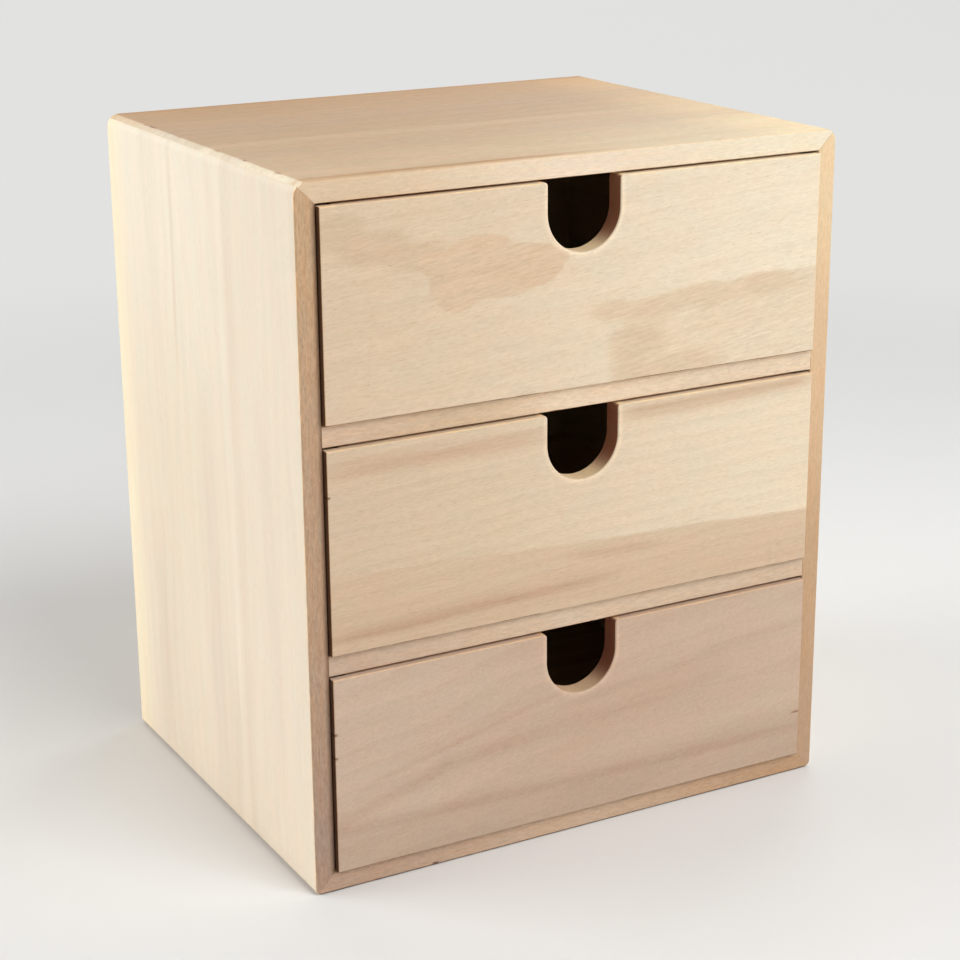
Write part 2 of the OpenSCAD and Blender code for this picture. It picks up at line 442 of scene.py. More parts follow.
    # painted light and shade on round corners, arrises and the notch; end grain; painted shade on the end in
    # the gap
    for axis, sign, start, end, tone in look["crownLightAndShade"]:
        colour = multiply(r.ease(turn[axis] * sign, start, end), colour, tone)
    onArris = turned("y", -1, "leavesSide") * turned("y", -1, "leavesFront")
    endCut = r.ease(abs(turn[grainAxes[0]]), *turnShows["endCut"])
    notch = look["notch"]
    if notch:
        inNotch = r.ease(abs(along), notch["half"] + 3, notch["half"] + 2)
        onArris = onArris * (1 - inNotch)
        endCut = endCut * (1 - inNotch)
    # breaks up the arris colours: their wear together with their painted highlight and shade
    broken = 0.45 + 0.55 * shows("arrisWearAndLight", layer("arrisWearAndLight"))
    for axis, sign, tone in look["arrises"]:
        colour = multiply(onArris * broken * turned(axis, sign, "arris"), colour, tone)
    if notch:
        # its walls are end grain; painted shade darkens the right wall, painted light brightens the sill and
        # a painted highlight the rim
        wall = inNotch * turned("y", -1, "notchWall")
        colour = multiply(wall * turned("x", -1, "endCut"), colour, notch["rightWallShade"])
        colour = multiply(wall * turned("x", 1, "endCut"), colour, notch["leftWall"])
        colour = multiply(wall * turned("z", 1, "notchSill"), colour, notch["sillLight"])
        away = reach(along, (across - notch["centre"]).lesser(0.0)) - notch["half"]
        colour = multiply(r.ease(away, 2.4, 0.3) * turned("y", -1, "notchFace"), colour, notch["rimHighlight"])
    if look["endTone"]:
        colour = multiply(endCut, colour, look["endTone"])
    # painted shade on the end that looks into the gap
    if look["gapShade"]:
        colour = multiply(endCut * turned("x", -1, "endCut"), colour, look["gapShade"])

    heights = {"hair": hair - 0.5, "band": band - 0.5, "fuzz": fuzz - 0.5, "pores": pores, "specks": specks}
    height = sum(heights[name] * share for name, share in grainHeight.items())
    roughness = look["sheen"] + (hair - 0.5) * 0.2 + pores * 0.12
    shader = r.shader(colour, roughness, height, look["relief"], 0.6, specular=0.32)
    r.surface(shader)
    return material


# plywood: straight face grain, and a dark middle layer on its edges
plyHabit = {
    "face": paint(226, 200, 160),
    "faceDark": paint(196, 160, 116),
    "core": paint(170, 120, 78),
    "coreShare": 1 / 3,  # of the thickness
    "coreDepth": 0.8,
    "fleckTone": paint(140, 92, 58),
    "fleckDepth": 0.4,
    "fleckShows": (0.64, 0.74),
    "sheen": 0.62,
    "relief": 0.1,
}
# length, width and detail, and where it starts in the noise
plyGrain = {"figure": (150, 9, 3.0, 4.0), "fine": (18, 0.6, 4.0, 9.0), "flecks": (5, 0.45, 2.0, 14.0)}


def plyFinish(node, grainAxes, thickness, seed):
    material, r = newMaterial(node.replace("_", " ") + " plywood")
    place, turn = whereAndFacing(r)
    along, across, deep = inGrain(node, grainAxes, place)
    spot = r.point(along, across, deep)

    def fibre(name):
        length, width, detail, shift = plyGrain[name]
        return r.grain(spot, (seed, shift, seed - shift), length, width, detail, 0.6)

    figure, fine = fibre("figure"), fibre("fine")
    flecks = r.ease(fibre("flecks"), *plyHabit["fleckShows"])
    colour = r.mix(figure * 1.3 - 0.2 + (fine - 0.5) * 0.5, plyHabit["face"], plyHabit["faceDark"])
    halfCore = thickness * plyHabit["coreShare"] / 2
    inCore = r.ease(abs(deep), halfCore + 0.1, halfCore - 0.1)
    onEdge = r.ease(abs(turn[grainAxes[2]]), 0.8, 0.4)
    colour = r.mix(inCore * onEdge * plyHabit["coreDepth"], colour, plyHabit["core"])
    colour = r.mix(flecks * plyHabit["fleckDepth"], colour, plyHabit["fleckTone"])
    roughness = plyHabit["sheen"] + (fine - 0.5) * 0.2
    shader = r.shader(colour, roughness, fine - flecks * 0.5, plyHabit["relief"], 0.4, specular=0.3)
    r.surface(shader)
    return material


steelHabit = {
    "bright": paint(190, 188, 184),
    "tarnished": paint(138, 128, 116),
    "tarnishShows": (0.4, 0.7),
    "tarnishScale": 700.0,
    "scuffScale": 2600.0,
    "scuffDepth": 0.3,
    "sheen": 0.28,
    "relief": 0.03,
}


def pinFinish():
    material, r = newMaterial("brushed pin steel")
    place = r.node("ShaderNodeTexCoord", pick="Object")
    scuff = r.noise(place, steelHabit["scuffScale"], 3.0, 0.6)
    tarnish = r.ease(r.noise(place, steelHabit["tarnishScale"], 2.0, 0.5), *steelHabit["tarnishShows"])
    colour = r.mix(tarnish, steelHabit["bright"], steelHabit["tarnished"])
    roughness = steelHabit["sheen"] + scuff * steelHabit["scuffDepth"]
    shader = r.shader(colour, roughness, scuff, steelHabit["relief"], 0.3, metallic=1.0)
    r.surface(shader)
    return material


def putOut(name, mesh, material, node):
    mesh.name = name
    mesh.materials.clear()
    mesh.materials.append(material)
    piece = putInScene(name, mesh)
    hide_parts(node)
    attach(piece, bodyOf[node])
    slotOf(node)


def slotOf(node):
    if node.endswith("_pins"):
        return "pin_steel"
    if node.endswith("_floor") or node == "back_panel":
        return "plywood"
    return "drawer_wood" if "_drawer_" in node else "cabinet_wood"


def bakedMesh(holder):
    view = bpy.context.evaluated_depsgraph_get()
    mesh = bpy.data.meshes.new_from_object(holder.evaluated_get(view))
    bpy.data.objects.remove(holder)
    return mesh


mergeGap = 1e-6  # points closer than this become one
flatFold = math.radians(0.6)  # faces that meet flatter than this become one
sharpFold = math.radians(28)  # edges that fold more than this are rounded
widestArris = 1.0 * mm


# the short edges round a pin hole stay sharp
def isHoleRim(edge, shortest=0.2):
    return edge.calc_length() < shortest * mm


# rounds the sharp edges; rule gives an edge's rounding in millimetres
def roundArrises(mesh, rule, steps=3):
    shape = bmesh.new()
    shape.from_mesh(mesh)
    bmesh.ops.remove_doubles(shape, verts=shape.verts, dist=mergeGap)
    bmesh.ops.dissolve_limit(shape, angle_limit=flatFold, verts=shape.verts, edges=shape.edges)
    weight = shape.edges.layers.float.new("bevel_weight_edge")
    for edge in shape.edges:
        if len(edge.link_faces) != 2:
            continue
        fold = edge.calc_face_angle(0)
        edge.smooth = fold < sharpFold
        if fold > sharpFold and edge.is_convex:
            edge[weight] = 0 if isHoleRim(edge) else rule(edge) * mm / widestArris
    for face in shape.faces:
        face.smooth = True
    plain = bpy.data.meshes.new("plain")
    shape.to_mesh(plain)
    shape.free()
    holder = putInScene("holder", plain)
    bevel = holder.modifiers.new("arris", "BEVEL")
    bevel.limit_method = "WEIGHT"
    bevel.width = widestArris
    bevel.segments = steps
    bevel.use_clamp_overlap = True
    bevel.harden_normals = True
    bevel.miter_outer = "MITER_ARC"
    return bakedMesh(holder)


def cornersOf(node):
    return [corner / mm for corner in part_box(node)]


def endsOf(edge):
    return [vert.co / mm for vert in edge.verts]


# whether all ends of an edge lie at this place on an axis
def allAt(ends, axis, place, near=0.01):
    return all(abs(end[axis] - place) < near for end in ends)


def isMitre(normal, least=0.3, near=0.01):
    sideways, upwards = abs(normal.x), abs(normal.z)
    return min(sideways, upwards) > least and abs(sideways - upwards) < near


# roundings in millimetres
cabinetPlan = {
    "outerArris": 0.8,  # front arrises of the four outer boards
    "innerArris": 0.3,  # the same, around the bays
    "dividerArris": 0.4,
    "seam": 0.12,  # where two boards meet in a mitre or a butt
    "rearArris": 0.2,
    "rearDepth": 4,  # how far from the back an edge counts as a rear one
    "rest": 0.1,
}


def outerBoardRule(node):
    low, high = cornersOf(node)
    cabinetMiddle = (frameBox[0][2] + frameBox[1][2]) / 2 / mm
    thin = min((0, 2), key=lambda axis: high[axis] - low[axis])
    inner = min(low[thin], high[thin], key=lambda value: abs(value - (cabinetMiddle if thin else 0)))

    def rule(edge):
        ends = endsOf(edge)
        if any(isMitre(face.normal) for face in edge.link_faces):
            return cabinetPlan["seam"]
        if all(end.y > high.y - cabinetPlan["rearDepth"] for end in ends):
            return cabinetPlan["rearArris"]
        if allAt(ends, 1, low.y):
            return cabinetPlan["innerArris" if allAt(ends, thin, inner) else "outerArris"]
        return cabinetPlan["rest"]
    return rule


def dividerRule(node):
    low, high = cornersOf(node)

    def rule(edge):
        ends = endsOf(edge)
        if allAt(ends, 1, low.y):
            upright = abs(ends[0].z - ends[1].z) > 1
            return cabinetPlan["seam" if upright else "dividerArris"]
        return cabinetPlan["rest"]
    return rule


# painted shade under the drawer front above, painted shade in the gap below
dividerArrises = [("z", 1, (0.94, 0.82, 0.68)), ("z", -1, (0.5, 0.31, 0.2))]
boardLooks = {
    "left_side": dict(
        axes="zyx", seed=1.0, halfLength=112.0,
        tones=[(238, 224, 204), (236, 222, 200), (243, 232, 213)],
        sweeps=[("across", 20, -55, (239, 225, 205)), ("across", 60, 78, (249, 235, 205))],
        edgeTones=[(176, 149, 130), (191, 160, 132), (203, 169, 133)],
        streaks=[
            streakAt(38, 7, 0.2, (226, 210, 190), slope=0.05),
            streakAt(-1, 5, 0.42, (222, 205, 188), slope=0.03, reach=(-112, 20, 30)),
            streakAt(48, 6, 0.4, (219, 200, 180), reach=(-112, -30, 25)),
            streakAt(-20, 7, 0.35, (218, 200, 180), reach=(-115, -60, 20)),
            streakAt(-22, 3, 0.35, (250, 240, 222), slope=0.02),
            streakAt(-28, 4, 0.3, (226, 206, 184), slope=0.02),
            streakAt(-52, 5, 0.3, (228, 210, 192), slope=0.04, reach=(-90, 40, 30)),
            streakAt(22, 1.2, 0.35, (214, 192, 162), reach=(40, 110, 25), wander=0.3)],
        # painted light on the top rounding, painted contact shadow on the bottom rounding
        crownLightAndShade=[("z", 1, 0.05, 0.6, (1.1, 1.1, 1.1)), ("z", -1, 0.3, 0.7, (0.22, 0.16, 0.12))],
        # painted shade on the inner side of the front edge and its inner arris by the gap, painted highlight
        # on the outer arris
        edgeShade=("deep", 1.6, 3.5, (0.5, 0.44, 0.41)),
        arrises=[("x", -1, (1.38, 1.3, 1.14)), ("x", 1, (0.78, 0.66, 0.56))],
        ringDepth=0.1, bandDepth=0.7, bandSize=(55.0, 4.5), hairDepth=0.6, poreDepth=0.16, mottleDepth=0.8,
        fuzzDepth=0.8, endTone=None),
    "right_side": dict(
        axes="zyx", seed=2.0, halfLength=112.0, tones=[(226, 206, 178), (236, 220, 194)],
        edgeTones=[(189, 157, 128), (198, 163, 128), (221, 188, 150), (234, 208, 168)],
        arrises=[("x", 1, (1.0, 0.86, 0.66)), ("x", -1, (0.94, 0.84, 0.72))],
        ringDepth=0.28, hairDepth=0.7, mottleDepth=1.0, poreDepth=0.26, edgeDepth=0.5, endTone=None),
    "top_board": dict(
        axes="xyz", seed=3.0, halfLength=84.0,
        tones=[(211, 183, 151), (213, 186, 156)],
        sweeps=[("along", 55, 92, (229, 199, 161)), ("across", 73, 82, (206, 170, 131))],
        # painted light towards the front and the front right, painted shade towards the back
        paintedLightTints=[("across", 20, -75, (1.1, 1.12, 1.11)), ("slant", 10, 150, (1.13, 1.23, 1.27)),
               ("across", -45, 0, (0.95, 0.925, 0.9)), ("across", 25, 85, (0.985, 0.9, 0.81))],
        edgeTones=[(224, 199, 167), (239, 220, 195), (240, 227, 200)],
        streaks=[
            streakAt(-76.8, 1.5, 0.8, (196, 148, 100), reach=(-98, 0, 30), wander=0.2),
            streakAt(-30, 7, 0.3, (200, 172, 148)),
            streakAt(-8, 4, 0.3, (234, 206, 176)),
            streakAt(28, 9, 0.3, (202, 174, 150), slope=0.04)],
        marks=[
            markAt((-96.6, 50), 2.2, (186, 140, 112), stretch=0.3),
            markAt((-96.4, 44), 4.5, (150, 100, 80), stretch=0.14),
            markAt((-96.6, 19), 1.6, (190, 146, 118), stretch=0.3),
            markAt((-96.6, -14), 2.6, (184, 136, 106), stretch=0.2),
            markAt((-96.4, -36), 1.6, (170, 124, 96), stretch=0.4),
            markAt((-96.6, -62), 3.0, (176, 130, 104), stretch=0.2)],
        # painted light where the top's rounding turns towards the left
        crownLightAndShade=[("x", -1, 0.12, 0.34, (1.42, 1.72, 2.05))], fuzzSize=(5.0, 1.7),
        # painted shade on the lower front arris over the top drawer's gap
        arrises=[("z", 1, (1.04, 0.96, 0.84)), ("z", -1, (0.55, 0.35, 0.22))],
        ringDepth=0.25, bandDepth=0.8, poreDepth=0.42, mottleDepth=1.6, fuzzDepth=2.0, hairDepth=1.0,
        edgeDepth=0.42, endTone=None),
    "bottom_board": dict(
        axes="xyz", seed=4.0, tones=[(226, 202, 170)], halfLength=96.0,
        edgeTones=[(192, 162, 139), (205, 178, 152), (192, 157, 123)],
        # painted contact shadow along the floor, painted shade under the bottom drawer's front
        edgeShade=("deep", -2.7, -3.3, (0.3, 0.22, 0.17)),
        arrises=[("z", 1, (0.9, 0.76, 0.62)), ("z", -1, (0.14, 0.09, 0.07))],
        marks=[markAt((-56, -2.6), 0.6, (88, 56, 40), stretch=2.4, onEdge=True)],
        edgeDepth=0.7, endTone=None),
    "upper_divider": dict(
        axes="xyz", seed=5.0, tones=[(228, 206, 176)], edgeDepth=0.55,
        edgeTones=[(217, 188, 161), (214, 188, 157), (235, 211, 182), (230, 208, 181),
                   (231, 210, 183)],
        arrises=dividerArrises),
    "lower_divider": dict(
        axes="xyz", seed=6.0, tones=[(226, 204, 174)], edgeDepth=0.6,
        edgeTones=[(205, 178, 154), (216, 192, 166), (212, 189, 163)],
        arrises=dividerArrises),
}

backPlan = {"arris": 0.2, "arrisSteps": 2, "thickness": 3.0, "seed": 21.0}

for node, look in boardLooks.items():
    look = dict(look)
    axes, seed = look.pop("axes"), look.pop("seed")
    rule = dividerRule(node) if "divider" in node else outerBoardRule(node)
    mesh = roundArrises(frame["nodes"][node].data, rule)
    finish = woodFinish(node, axes, seed, **look)
    putOut(node + "_wood", mesh, finish, node)

panel = frame["nodes"]["back_panel"].data
mesh = roundArrises(panel, lambda edge: backPlan["arris"], backPlan["arrisSteps"])
finish = plyFinish("back_panel", "zxy", backPlan["thickness"], backPlan["seed"])
putOut("back_panel_ply", mesh, finish, "back_panel")
print("cabinet boards done")


# one tree draws the notched outline of a drawer front and cuts its joints, in millimetres
frontPlan = {
    "Lap": 3.0,
    "Rebate": 6.0,
    "Groove Height": 5.0,
    "Groove Width": 3.0,
    "Groove Depth": 2.5,
    "Notch Width": 27.0,
    "Notch Depth": 23.5,
    "Notch Ease": 1.2,  # radius of the corners beside the notch
    "Arc Steps": 48,
    "Ease Steps": 8,
}
frontArris = {
    "face": 0.45,
    "notch": 0.6,
    "rest": 0.25,
    "notchZone": (16, 20),  # from the middle of the front, and from its lower edge
}


def treeWith(name, inputs):
    tree = bpy.data.node_groups.new(name, "GeometryNodeTree")
    for label, kind in inputs.items():
        tree.interface.new_socket(label, in_out="INPUT", socket_type=kind)
    tree.interface.new_socket("Geometry", in_out="OUTPUT", socket_type="NodeSocketGeometry")
    recipe = Recipe(tree)
    wires = dict(zip(inputs, recipe.node("NodeGroupInput", pick=tuple(inputs))))
    return tree, recipe, wires


def growFrom(tree, base, values):
    holder = putInScene("holder", base)
    grower = holder.modifiers.new("grow", "NODES")
    grower.node_group = tree
    for item in tree.interface.items_tree:
        if item.in_out == "INPUT" and item.name in values:
            grower[item.identifier] = values[item.name]
    return bakedMesh(holder)


def handOut(r, geometry, finish):
    real = r.node("GeometryNodeRealizeInstances", {"Geometry": geometry})
    finished = r.node("GeometryNodeSetMaterial", {"Geometry": real, "Material": finish})
    r.node("NodeGroupOutput", {"Geometry": finished})


def frontTree():
    inputs = {label: "NodeSocketFloat" for label in ("Width", "Height", "Thickness")}
    inputs.update({label: "NodeSocket" + ("Int" if "Steps" in label else "Float") for label in frontPlan})
    inputs["Place"] = "NodeSocketVector"
    inputs["Finish"] = "NodeSocketMaterial"
    tree, r, w = treeWith("drawer front", inputs)

    def moved(geometry, way):
        return r.node("GeometryNodeTransform", {"Geometry": geometry, "Translation": way})

    def line(start, end):
        return r.node("GeometryNodeCurvePrimitiveLine", {"Start": start, "End": end})

    def arc(centre, radius, start, sweep, steps):
        curve = r.node("GeometryNodeCurveArc", pick="Curve", values={
            "Resolution": steps, "Radius": radius,
            "Start Angle": math.radians(start), "Sweep Angle": math.radians(sweep)})
        return moved(curve, centre)

    half, height = w["Width"] / 2, w["Height"]
    reach, easing, easeSteps = w["Notch Width"] / 2, w["Notch Ease"], w["Ease Steps"]
    strokes = [
        line(r.point(-half, height), r.point(-half, 0.0)),
        line(r.point(half, 0.0), r.point(half, height)),
        arc(r.point(reach + easing, height - easing), easing, 90, 90, easeSteps),
        arc(r.point(0.0, height - w["Notch Depth"] + reach), reach, 0, -180, w["Arc Steps"]),
        arc(r.point(-reach - easing, height - easing), easing, 0, 90, easeSteps),
    ]
    # the last link comes first
    joined = r.node("GeometryNodeJoinGeometry", {"Geometry": strokes[::-1]})
    dots = r.node("GeometryNodeCurveToPoints", {"Curve": joined}, pick="Points", mode="EVALUATED")
    outline = r.node("GeometryNodePointsToCurves", {"Points": dots})
    outline = r.node("GeometryNodeSetSplineCyclic", {"Geometry": outline, "Cyclic": True})
    face = r.node("GeometryNodeFillCurve", {"Curve": outline}, mode="NGONS")
    inner = -w["Thickness"]
    rear = moved(face, r.point(0.0, 0.0, inner))
    walls = r.node("GeometryNodeExtrudeMesh", pick="Mesh", mode="FACES", values={
        "Mesh": rear, "Offset": r.point(0.0, 0.0, w["Thickness"]), "Offset Scale": 1.0, "Individual": False})
    rear = r.node("GeometryNodeFlipFaces", {"Mesh": rear})
    blank = r.node("GeometryNodeJoinGeometry", {"Geometry": [walls, rear]})
    blank = r.node("GeometryNodeMergeByDistance", {"Geometry": blank, "Distance": mergeGap / mm})

    def waste(lowX, highX, lowY, highY, lowZ, highZ):
        size = r.point(highX - lowX, highY - lowY, highZ - lowZ)
        block = r.node("GeometryNodeMeshCube", {"Size": size}, pick="Mesh")
        return moved(block, r.point((lowX + highX) / 2, (lowY + highY) / 2, (lowZ + highZ) / 2))

    spare = 1.0  # how far the waste reaches past the blank
    ends = [waste(low, high, -spare, height + spare, inner - spare, -w["Lap"])
            for low, high in ((half - w["Rebate"], half + spare), (-half - spare, w["Rebate"] - half))]
    groove = waste(-w["Width"], w["Width"], w["Groove Height"], w["Groove Height"] + w["Groove Width"],
                   inner - spare, w["Groove Depth"] + inner)
    cut = r.node("GeometryNodeMeshBoolean", {"Mesh 1": blank, "Mesh 2": ends + [groove]}, pick="Mesh",
                 operation="DIFFERENCE", solver="EXACT")
    turned = r.node("GeometryNodeTransform", {"Geometry": cut, "Rotation": (math.radians(90), 0, 0)})
    placed = moved(turned, w["Place"])
    scaled = r.node("GeometryNodeTransform", {"Geometry": placed, "Scale": (mm, mm, mm)})
    handOut(r, scaled, w["Finish"])
    return tree


def frontRule(low, high):
    middle = (low.x + high.x) / 2
    aside, above = frontArris["notchZone"]

    def rule(edge):
        ends = endsOf(edge)
        inNotch = all(abs(end.x - middle) < aside and end.z > low.z + above for end in ends)
        if inNotch and all(allAt([end], 1, low.y) or allAt([end], 1, high.y) for end in ends):
            return frontArris["notch"]
        return frontArris["face" if allAt(ends, 1, low.y) else "rest"]
    return rule


frontHabit = dict(
    # painted shadow on each front's lower arris, painted highlight on its upper arris; the left arris is
    # tinted orange, the right one lighter
    arrises=[("z", -1, (0.3, 0.22, 0.18)), ("z", 1, (1.32, 1.2, 0.92)),
             ("x", -1, (1.0, 0.78, 0.56)), ("x", 1, (1.1, 1.06, 0.98))],
    # painted shade on the notch's right wall, painted light on its sill, painted highlight on its rim
    notch=dict(half=13.5, centre=24.0, rightWallShade=(0.42, 0.21, 0.155), leftWall=(0.8, 0.64, 0.5),
               sillLight=(1.25, 1.2, 1.02), rimHighlight=(1.15, 1.15, 1.14)),
    # painted shade on the fronts' left ends, in the gap
    endTone=(0.66, 0.52, 0.41), gapShade=(0.27, 0.21, 0.18),
    fuzzDepth=2.1, hairDepth=1.1, mottleDepth=1.2, poreDepth=0.3,
)
frontLooks = {
    "top_drawer": dict(
        seed=11.0,
        tones=[(222, 199, 172), (238, 224, 199)],
        patches=[
            dict(tone=(213, 187, 158), depth=0.65, soft=0.3, hatch=0.8, lobes=[
                (-60, 16, 12, 4.5), (-74, 20, 13, 5.5), (-86, 25, 9, 6)]),
            dict(tone=(221, 195, 166), depth=0.9, soft=0.06, hatch=1.0, lobes=[
                (-38, 11, 14, 9.5), (-46, 5, 10, 8), (-29, 7.5, 15, 8), (-20, 8.5, 13, 7), (-54, 13, 6, 4)]),
            dict(tone=(230, 212, 187), depth=0.85, soft=0.09, hatch=1.0, lobes=[
                (10, -10, 7, 3.4), (26, -10.5, 13, 3.6), (48, -9, 17, 4.6), (72, -9, 19, 4.6),
                (90, -10, 14, 5.4), (22, -24, 13.5, 9), (40, -22, 30, 14), (78, -22, 34, 16),
                (17, -33, 7, 8)]),
            dict(tone=(220, 196, 168), depth=0.75, soft=0.45, hatch=0.6, lobes=[
                (12, -10, 9, 3.4), (28, -10.5, 14, 3.6), (48, -8.8, 17, 4), (70, -8, 16, 3.6)]),
            dict(tone=(217, 191, 162), depth=0.6, soft=0.5, hatch=0.8, lobes=[
                (21, -22, 10, 8), (18, -33, 8, 8), (36, -32, 18, 5)]),
        ],
        ringDepth=0.16, bandDepth=0.45, lean=0.1),
    "middle_drawer": dict(
        seed=12.0,
        tones=[(217, 194, 167), (234, 217, 191)],
        shelves=[
            dict(at=-11, slope=-0.045, soft=0.7, depth=0.85, tone=(215, 189, 161), wander=0.25),
            dict(at=-20, slope=-0.02, soft=8, depth=0.45, tone=(207, 178, 150), wander=0.4)],
        streaks=[
            streakAt(27.5, 3.0, 0.6, (204, 170, 142), reach=(-92, -14, 12), wander=0.3),
            streakAt(29.5, 2.4, 0.75, (206, 174, 144), slope=0.03, reach=(16, 92, 8), wander=0.25),
            streakAt(-25.5, 1.8, 0.6, (192, 154, 128), slope=0.03, reach=(-92, 8, 14)),
            streakAt(-15.5, 1.3, 0.5, (196, 158, 134), slope=-0.03, reach=(-2, 30, 8))],
        marks=[
            markAt((-92.1, 19.0), 0.5, (112, 70, 46))],
        ringDepth=0.25, ringGap=4.2, heart=(-120.0, 40.0)),
    "bottom_drawer": dict(
        seed=13.0,
        tones=[(206, 182, 162), (201, 174, 152), (202, 177, 156)],
        sweeps=[("across", -6, -32, (195, 170, 149))],
        streaks=[
            streakAt(10.5, 2.4, 0.4, (182, 150, 128), slope=0.3, reach=(-94, -50, 5), wander=0.3),
            streakAt(0.4, 2.6, 0.33, (184, 152, 129), slope=0.08, reach=(-52, 60, 9), wander=0.3),
            streakAt(14.1, 1.0, 0.36, (188, 152, 126), slope=0.235, reach=(-78, -4, 9), wander=0.2),
            streakAt(-21.4, 1.9, 0.36, (178, 147, 127), slope=-0.015, wander=0.25),
            streakAt(-13, 3.2, 0.26, (212, 188, 165), slope=0.03, reach=(-80, 92, 20), wander=0.3),
            streakAt(8, 2.2, 0.23, (186, 156, 134), slope=0.12, reach=(-5, 90, 12), wander=0.4),
            streakAt(22, 7, 0.2, (212, 188, 166))],
        marks=[
            markAt((-92.2, 15.0), 0.6, (120, 78, 52)),
            markAt((-92.2, 6.8), 0.6, (128, 84, 58)),
            markAt((91, -16.8), 0.5, (140, 96, 66), stretch=4.5)],
        ringDepth=0.3, ringGap=8.0, heart=(-30.0, 30.0), lean=0.16, waver=4.0,
        fuzzSize=(1.2, 0.8), fuzzDepth=2.2, hairDepth=0.6, poreDepth=0.2),
}
frontMaker = frontTree()

for drawer in drawerNames:
    node = drawer + "_front"
    low, high = cornersOf(node)
    look = dict(frontHabit, **frontLooks[drawer])
    seed = look.pop("seed")
    finish = woodFinish(node, "xzy", seed, **look)
    values = dict(frontPlan)
    values.update({"Width": high.x - low.x, "Height": high.z - low.z, "Thickness": high.y - low.y,
                   "Place": (0.0, low.y, low.z), "Finish": finish})
    mesh = growFrom(frontMaker, bpy.data.meshes.new("seed"), values)
    mesh = roundArrises(mesh, frontRule(low, high))
    putOut(node + "_wood", mesh, finish, node)
print("drawer fronts done")


boxPlan = {
    "arris": 0.6,  # along the upper and lower edges
    "rest": 0.15,
    "floorArris": 0.2,
    "floorThickness": 3.0,
    "sideSeed": 31.0,
    "floorSeed": 51.0,
}


def boxRule(node):
    low, high = cornersOf(node)

    def rule(edge):
        ends = endsOf(edge)
        return boxPlan["arris" if allAt(ends, 2, high.z) or allAt(ends, 2, low.z) else "rest"]
    return rule


for count, drawer in enumerate(drawerNames):
    for part, axes in (("left_side", "yzx"), ("right_side", "yzx"), ("back", "xzy")):
        node = drawer + "_" + part
        seed = boxPlan["sideSeed"] + count * 5 + len(part)
        finish = woodFinish(node, axes, seed)
        putOut(node + "_wood", roundArrises(frame["nodes"][node].data, boxRule(node)), finish, node)
    node = drawer + "_floor"
    finish = plyFinish(node, "xyz", boxPlan["floorThickness"], boxPlan["floorSeed"] + count)
    mesh = roundArrises(frame["nodes"][node].data, lambda edge: boxPlan["floorArris"], 2)
    putOut(node + "_ply", mesh, finish, node)
print("drawer boxes done")


pinPlan = {
    "Length": 14.0,
    "Thickness": 1.2,
    "Head Width": 2.4,
    "Head Height": 0.6,
    "Crown": 0.08,
    "Sides": 20,
}
pinSunk = 0.15  # how far the heads are driven below the wood
pinTurn = 6.28  # each pin is turned its own way, up to this many radians
pinHeadZone = 0.3  # within this of its end a pin shows the head's width


# a pin lies along -Z with its head at the origin; each point's drive says which way its head looks
def pinTree():
    inputs = {"Geometry": "NodeSocketGeometry"}
    inputs.update({label: "NodeSocketFloat" for label in pinPlan if label != "Sides"})
    inputs["Sides"] = "NodeSocketInt"
    inputs["Finish"] = "NodeSocketMaterial"
    tree, r, w = treeWith("pins", inputs)
    shank, head = w["Thickness"] / 2, w["Head Width"] / 2
    # depth below the head and thickness there, from the crown down to the point
    profile = [(w["Crown"], 0.02), (w["Crown"] * 0.8, head * 0.5), (w["Crown"] * 0.2, head * 0.86),
               (-0.12, head), (w["Head Height"] * -0.75, head), (-w["Head Height"], shank),
               (w["Thickness"] - w["Length"], shank), (-w["Length"], 0.04)]
    count = len(profile)
    stem = r.node("GeometryNodeMeshLine", {"Count": count}, mode="OFFSET")
    index = r.node("GeometryNodeInputIndex")
    depth, width = 0.0, 0.0
    for step, (z, size) in enumerate(profile):
        here = index.reckon("COMPARE", index, float(step), 0.1)
        depth, width = here * z + depth, here * size + width
    spots = r.point(0.0, 0.0, depth)
    stem = r.node("GeometryNodeSetPosition", {"Geometry": stem, "Position": spots})
    curve = r.node("GeometryNodeMeshToCurve", {"Mesh": stem})
    curve = r.node("GeometryNodeSetCurveRadius", {"Curve": curve, "Radius": width})
    circle = r.node("GeometryNodeCurvePrimitiveCircle", {"Resolution": w["Sides"], "Radius": 1.0},
                    pick="Curve", mode="RADIUS")
    pin = r.node("GeometryNodeCurveToMesh", {
        "Curve": curve, "Profile Curve": circle, "Scale": width, "Fill Caps": True})
    dots = r.node("GeometryNodeMeshToPoints", {"Mesh": w["Geometry"]})
    drive = r.node("GeometryNodeInputNamedAttribute", {"Name": "drive"}, pick="Attribute",
                   data_type="FLOAT_VECTOR")
    aim = r.node("FunctionNodeAlignRotationToVector", {"Vector": drive}, axis="Z")
    spin = r.node("FunctionNodeRandomValue", {"Min": 0.0, "Max": pinTurn, "Seed": 5}, data_type="FLOAT")
    twist = r.point(0.0, 0.0, spin)
    facing = r.node("FunctionNodeRotateRotation", {"Rotation": aim, "Rotate By": twist},
                    rotation_space="LOCAL")
    pins = r.node("GeometryNodeInstanceOnPoints", {
        "Points": dots, "Instance": pin, "Rotation": facing, "Scale": (mm, mm, mm)})
    handOut(r, pins, w["Finish"])
    return tree


